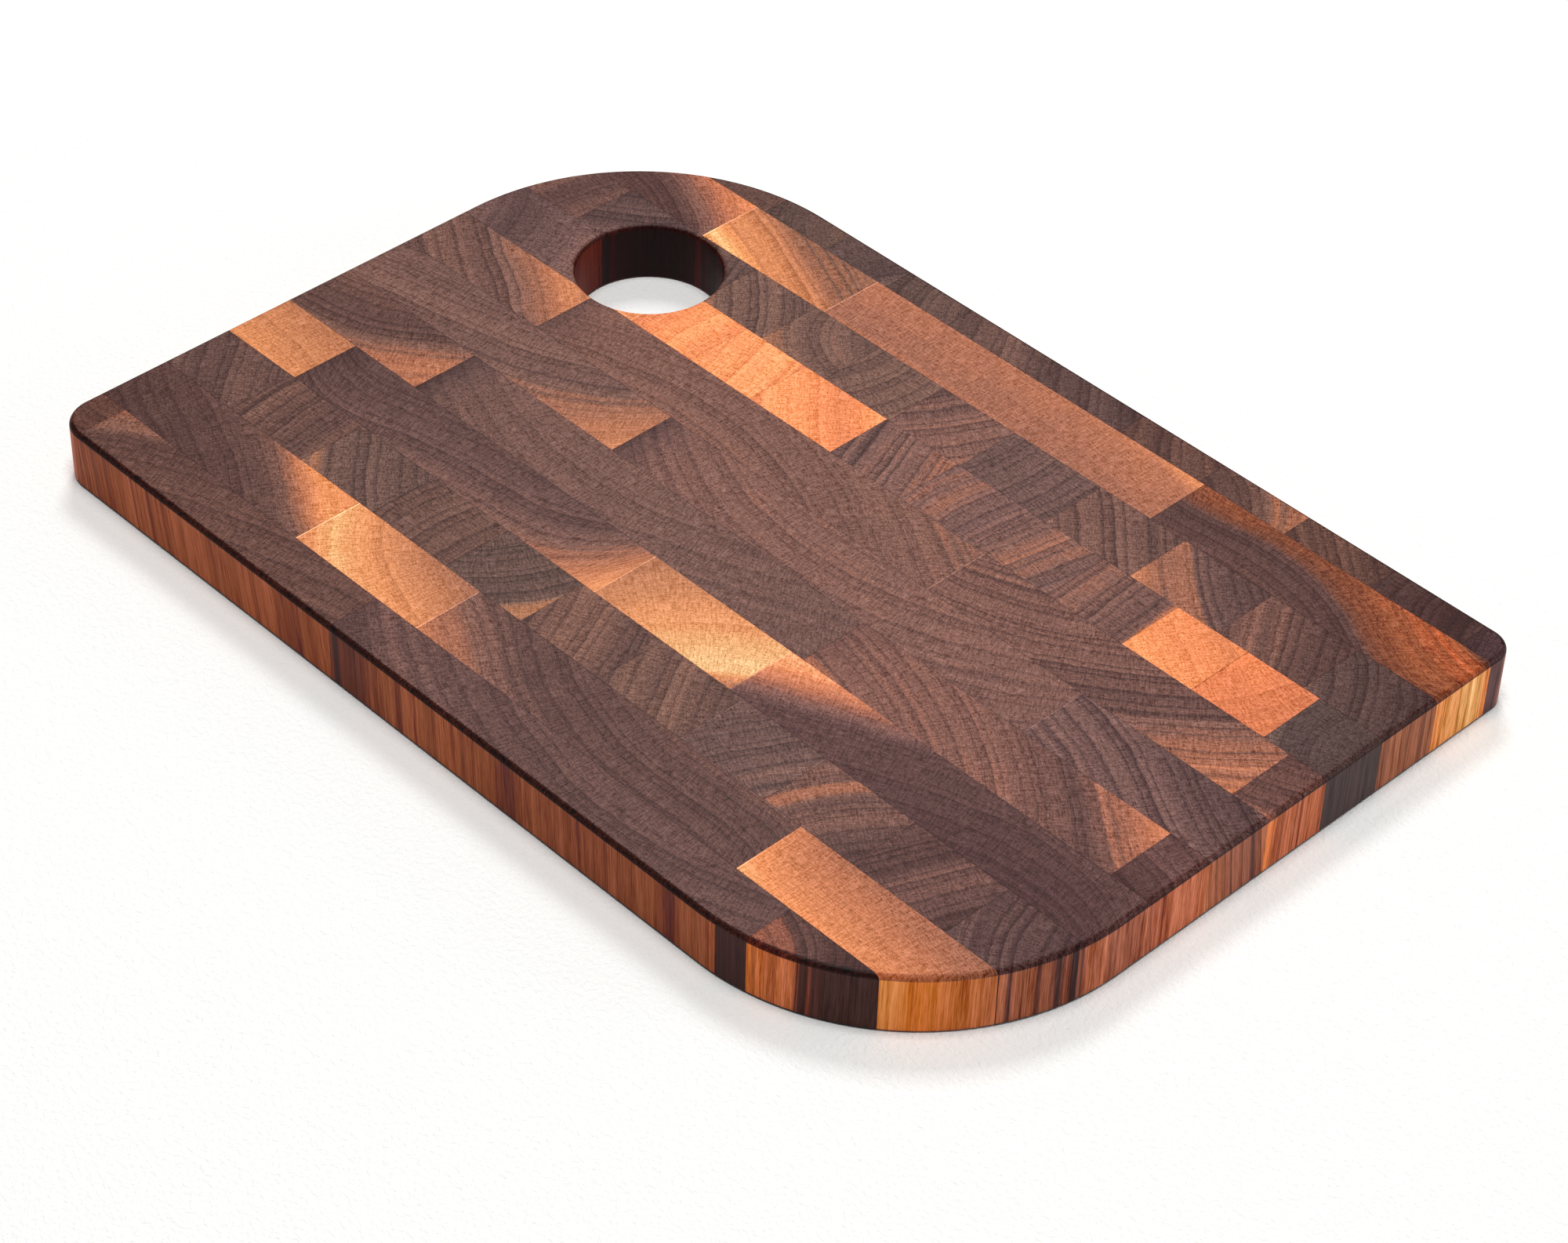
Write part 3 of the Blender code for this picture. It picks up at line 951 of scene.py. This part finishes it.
    # The colour.
    end_colour = tone_colour(g, tone, END_GRAIN)
    side_colour = tone_colour(g, side_tone, SIDE_GRAIN)
    # Painted sheen: a pale grey added on the two short sides, but not in the bore.
    painted_sheen = g.math("MULTIPLY", facing_short_side, SHORT_SIDE_PAINTED_SHEEN)
    painted_sheen = g.math("MULTIPLY", painted_sheen, g.math("SUBTRACT", 1.0, bore))
    colour = g.mix(on_end, g.vector("ADD", side_colour, painted_sheen), end_colour)
    # Painted shade inside the hole.
    bore_shade = g.math("MAXIMUM", bore, bore_rim_shade)
    colour = g.vector("MULTIPLY", colour, g.mix(bore_shade, WHITE, BORE_PAINTED_SHADE))
    sapwood = g.math("MULTIPLY", g.spread(light, SAPWOOD_START, SAPWOOD_FULL), on_end)
    own_tint = g.scaled(g.vector("SUBTRACT", given["Sapwood Tint"], given["Tint"]), sapwood)
    colour = g.vector("MULTIPLY", colour, g.vector("ADD", given["Tint"], own_tint))
    # Painted shade on the rounded rims.
    colour = g.vector("MULTIPLY", colour, g.mix(rim, WHITE, RIM_PAINTED_SHADE))
    grey = g.math("MULTIPLY", g.vector("DOT_PRODUCT", colour, GREY_WEIGHTS), shade)
    grey = g.math("MULTIPLY", grey, GREY_SHARE)
    scale = g.math("MULTIPLY_ADD", shade, 1 - GREY_SHARE, 1.0)
    # The painted rim shade is deeper on dark wood.
    scale = g.math("ADD", scale, g.math("MULTIPLY", g.spread(light, *DARK_WOOD_RIM_SHADE), rim))
    colour = g.vector("ADD", g.scaled(colour, scale), grey)
    g.tree.links.new(g.vector("MAXIMUM", colour, BLACKEST), out["Colour"])

    rough = g.sum(
        ROUGHNESS,
        g.math("MULTIPLY", mottle, ROUGH_MOTTLE),
        g.math("MULTIPLY", grain, ROUGH_GRAIN),
        g.math("MULTIPLY", pore, ROUGH_PORE),
    )
    g.tree.links.new(g.math("MULTIPLY", rough, 1.0, clamp=True), out["Roughness"])
    relief = g.weighed(
        (pore, RELIEF_PORE), (mottle, RELIEF_MOTTLE), (grain, RELIEF_GRAIN), (late, RELIEF_LATE)
    )
    g.tree.links.new(g.bump(relief, RELIEF_STRENGTH, RELIEF_HEIGHT), out["Normal"])
    return tree


def tone_colour(g, tone, ramp):
    return g.ramp(g.spread(tone, TONE_LOW, TONE_HIGH, smooth=False), as_ramp(ramp))


def as_ramp(tones):
    return [((tone - TONE_LOW) / (TONE_HIGH - TONE_LOW), colour) for tone, colour in tones]


def tint_of(red, yellow):
    """The factors on red, green and blue that lean the wood to red or to yellow."""
    return tuple(1 + red * r + yellow * y for r, y in zip(RED_STEP, YELLOW_STEP))


def wood_material(name, key, low, high, groups):
    """The wood of one block, whose joints are at its low and high corners."""
    (x, y), angle, (bend, skew, curl), tones, (pitch, depth), (red, yellow) = BLOCKS[key]
    number = sorted(BLOCKS).index(key)
    material = bpy.data.materials.new(name)
    material.use_nodes = True
    tree = material.node_tree
    g = Graph(tree)
    shader = tree.nodes["Principled BSDF"]
    turn = math.radians(angle)
    slight_lean = (
        SLIGHT_LEAN * math.sin(number * LEAN_TURN_X),
        SLIGHT_LEAN * math.cos(number * LEAN_TURN_Y),
        0.0,
    )
    growth = g.add("ShaderNodeGroup", node_tree=groups[0])
    values = {
        "Centre": (x, y, 0.0),
        "Across": (math.cos(turn), math.sin(turn), 0.0),
        "Along": (-math.sin(turn), math.cos(turn), 0.0),
        "Bend": bend / 1e3,
        "Skew": skew / 1e5,
        "Curl": curl / 1e6,
        "Lean": LEANS.get(key, slight_lean),
        "Seed": (SEED_STEP_X * number, SEED_STEP_Y * number, 0.0),
    }
    for socket, value in values.items():
        growth.inputs[socket].default_value = value
    start, end = tones[0][0], tones[-1][0]
    span = g.spread(growth.outputs["Growth"], start, end, smooth=False)
    greys = [((place - start) / (end - start), (tone / 100,) * 3) for place, tone in tones]
    lightness = g.math("MULTIPLY", g.ramp(span, greys), 100.0)
    surface = g.add("ShaderNodeGroup", node_tree=groups[1])
    for socket in ("Growth", "Round", "Fibre", "Place"):
        tree.links.new(growth.outputs[socket], surface.inputs[socket])
    tree.links.new(lightness, surface.inputs["Lightness"])
    values = {
        "Pitch": pitch,
        "Depth": depth,
        "Low": low,
        "High": high,
        "Stain": LEFT_STAINS.get(key, 0.0),
        "Left Glue": LEFT_GLUE.get(key, PLAIN_GLUE),
        "Tint": tint_of(red, yellow),
        "Sapwood Tint": SAPWOOD_TINTS.get(key, tint_of(red, yellow)),
        "Side Shift": SIDE_SHIFTS.get(key, 0.0),
        "Side Gain": SIDE_GAINS.get(key, SIDE_GAIN),
        "Dark End": DARK_ENDS.get(key, 0.0),
    }
    for socket, value in values.items():
        surface.inputs[socket].default_value = value
    tree.links.new(surface.outputs["Colour"], shader.inputs["Base Color"])
    tree.links.new(surface.outputs["Roughness"], shader.inputs["Roughness"])
    tree.links.new(surface.outputs["Normal"], shader.inputs["Normal"])
    shader.inputs["IOR"].default_value = WOOD_IOR
    shader.inputs["Specular IOR Level"].default_value = WOOD_SPECULAR
    return material


# ---------------------------------------------------------------- pieces


CAD_TOLERANCE = 0.0005  # metres


def cad_node_of(letter, middle):
    """The CAD block of the strip that a piece with its middle at this X stands for."""
    for node in sorted(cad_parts):
        if node.startswith(f"strip_{letter}_"):
            low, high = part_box(node)
            if low.x - CAD_TOLERANCE <= middle <= high.x + CAD_TOLERANCE:
                return node
    raise ValueError(f"no CAD block in strip {letter} at {middle}")


def build_board():
    blank = blank_board()
    groups = (ring_group(), surface_group())
    for letter, joints in JOINTS.items():
        front, back = strip_edges(letter)
        ends = (-LENGTH / 2, *joints, LENGTH / 2)
        for number, (left, right) in enumerate(zip(ends, ends[1:]), start=1):
            key = f"{letter}{number:02d}"
            mesh = block_mesh(f"walnut_{key}", left, right, front, back, blank)
            if not mesh.vertices:
                raise ValueError(key)
            piece = new_object(f"walnut_{key}", mesh)
            mesh.materials.clear()
            mesh.materials.append(
                wood_material(
                    f"walnut_{key}", key, (left, front, 0.0), (right, back, THICKNESS), groups
                )
            )
            normals = piece.modifiers.new("normals", "WEIGHTED_NORMAL")
            normals.keep_sharp = True
            normals.weight = 100
            xs = [v.co.x for v in mesh.vertices]
            node = cad_node_of(letter, (min(xs) + max(xs)) / 2)
            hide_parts(node)
            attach(piece, "root")
    bpy.data.objects.remove(blank)


# ---------------------------------------------------------------- stage


FLOOR_HALF_SIZE = 1.8  # metres
FLOOR_COLOUR, FLOOR_ROUGHNESS, FLOOR_SPECULAR = (0.89, 0.89, 0.875), 0.85, 0.2
FLOOR_GRAIN = (520.0, 3.0, 0.6)  # scale, detail and roughness
FLOOR_RELIEF_STRENGTH, FLOOR_RELIEF_HEIGHT = 0.8, 0.001
WORLD_STRENGTH = 0.14
BACKDROP_COLOUR = (0.96, 0.96, 0.955)  # what the camera sees past the floor
SOFTBOXES = (
    # name, azimuth, elevation, distance, size, power
    ("behind", 225.0, 51.0, 5.0, 1.3, 100.0),
    ("overhead", 45.0, 86.0, 5.0, 1.9, 184.0),
    ("right", 135.0, 14.0, 5.0, 1.6, 52.0),
)
CAMERA_AZIMUTH, CAMERA_ELEVATION, CAMERA_ROLL = 45.086, 40.479, 1.782  # degrees
CAMERA_DISTANCE, CAMERA_TARGET = 1.311789, (0.019543, -0.010111, 0.0005)  # metres
SENSOR_WIDTH, FOCAL_LENGTH = 36.0, 93.778  # millimetres
NEAR_LIMIT, FAR_LIMIT = 0.01, 100.0  # metres


def build_floor():
    mesh = bpy.data.meshes.new("floor")
    edit = bmesh.new()
    bmesh.ops.create_grid(edit, x_segments=1, y_segments=1, size=FLOOR_HALF_SIZE)
    edit.to_mesh(mesh)
    edit.free()
    floor = new_object("floor", mesh)
    material = bpy.data.materials.new("floor_paper")
    material.use_nodes = True
    g = Graph(material.node_tree)
    shader = material.node_tree.nodes["Principled BSDF"]
    shader.inputs["Base Color"].default_value = (*FLOOR_COLOUR, 1.0)
    shader.inputs["Roughness"].default_value = FLOOR_ROUGHNESS
    shader.inputs["Specular IOR Level"].default_value = FLOOR_SPECULAR
    grain = g.noise(g.add("ShaderNodeTexCoord").outputs["Object"], *FLOOR_GRAIN)
    relief = g.bump(grain, FLOOR_RELIEF_STRENGTH, FLOOR_RELIEF_HEIGHT)
    material.node_tree.links.new(relief, shader.inputs["Normal"])
    mesh.materials.append(material)


def add_softbox(name, azimuth, elevation, distance, size, power):
    """A square softbox that faces the board; the camera doesn't see it."""
    turn, rise = math.radians(azimuth), math.radians(elevation)
    place = distance * Vector(
        (math.sin(turn) * math.cos(rise), -math.cos(turn) * math.cos(rise), math.sin(rise))
    )
    light = bpy.data.lights.new(name, "AREA")
    light.shape = "SQUARE"
    light.size = size
    light.energy = power
    made = bpy.data.objects.new(name, light)
    made.location = place
    made.rotation_euler = (-place).to_track_quat("-Z", "Y").to_euler()
    made.visible_camera = False
    bpy.context.scene.collection.objects.link(made)


def build_light():
    world = bpy.data.worlds.new("studio")
    bpy.context.scene.world = world
    world.use_nodes = True
    g = Graph(world.node_tree)
    lit = world.node_tree.nodes["Background"]
    lit.inputs["Color"].default_value = (*WHITE, 1.0)
    lit.inputs["Strength"].default_value = WORLD_STRENGTH
    seen = g.add("ShaderNodeBackground", {"Color": (*BACKDROP_COLOUR, 1.0), "Strength": 1.0})
    mix = g.add(
        "ShaderNodeMixShader",
        {
            0: g.add("ShaderNodeLightPath").outputs["Is Camera Ray"],
            1: lit.outputs[0],
            2: seen.outputs[0],
        },
    )
    world.node_tree.links.new(
        mix.outputs[0], world.node_tree.nodes["World Output"].inputs["Surface"]
    )
    for softbox in SOFTBOXES:
        add_softbox(*softbox)


def build_camera():
    azimuth, elevation, roll = (
        math.radians(angle) for angle in (CAMERA_AZIMUTH, CAMERA_ELEVATION, CAMERA_ROLL)
    )
    back = Vector(
        (
            math.sin(azimuth) * math.cos(elevation),
            -math.cos(azimuth) * math.cos(elevation),
            math.sin(elevation),
        )
    )
    level = Vector((math.cos(azimuth), math.sin(azimuth), 0.0))
    upright = back.cross(level)
    right = level * math.cos(roll) + upright * math.sin(roll)
    up = upright * math.cos(roll) - level * math.sin(roll)
    camera = bpy.data.objects.new("camera", bpy.data.cameras.new("camera"))
    camera.data.sensor_width = SENSOR_WIDTH
    camera.data.sensor_fit = "HORIZONTAL"
    camera.data.lens = FOCAL_LENGTH
    camera.data.clip_start, camera.data.clip_end = NEAR_LIMIT, FAR_LIMIT
    turn = Matrix((right, up, back)).transposed().to_4x4()
    place = Vector(CAMERA_TARGET) + back * CAMERA_DISTANCE
    camera.matrix_world = Matrix.Translation(place) @ turn
    bpy.context.scene.collection.objects.link(camera)
    bpy.context.scene.camera = camera


build_board()
build_floor()
build_light()
build_camera()
bpy.context.scene.view_settings.view_transform = "Standard"
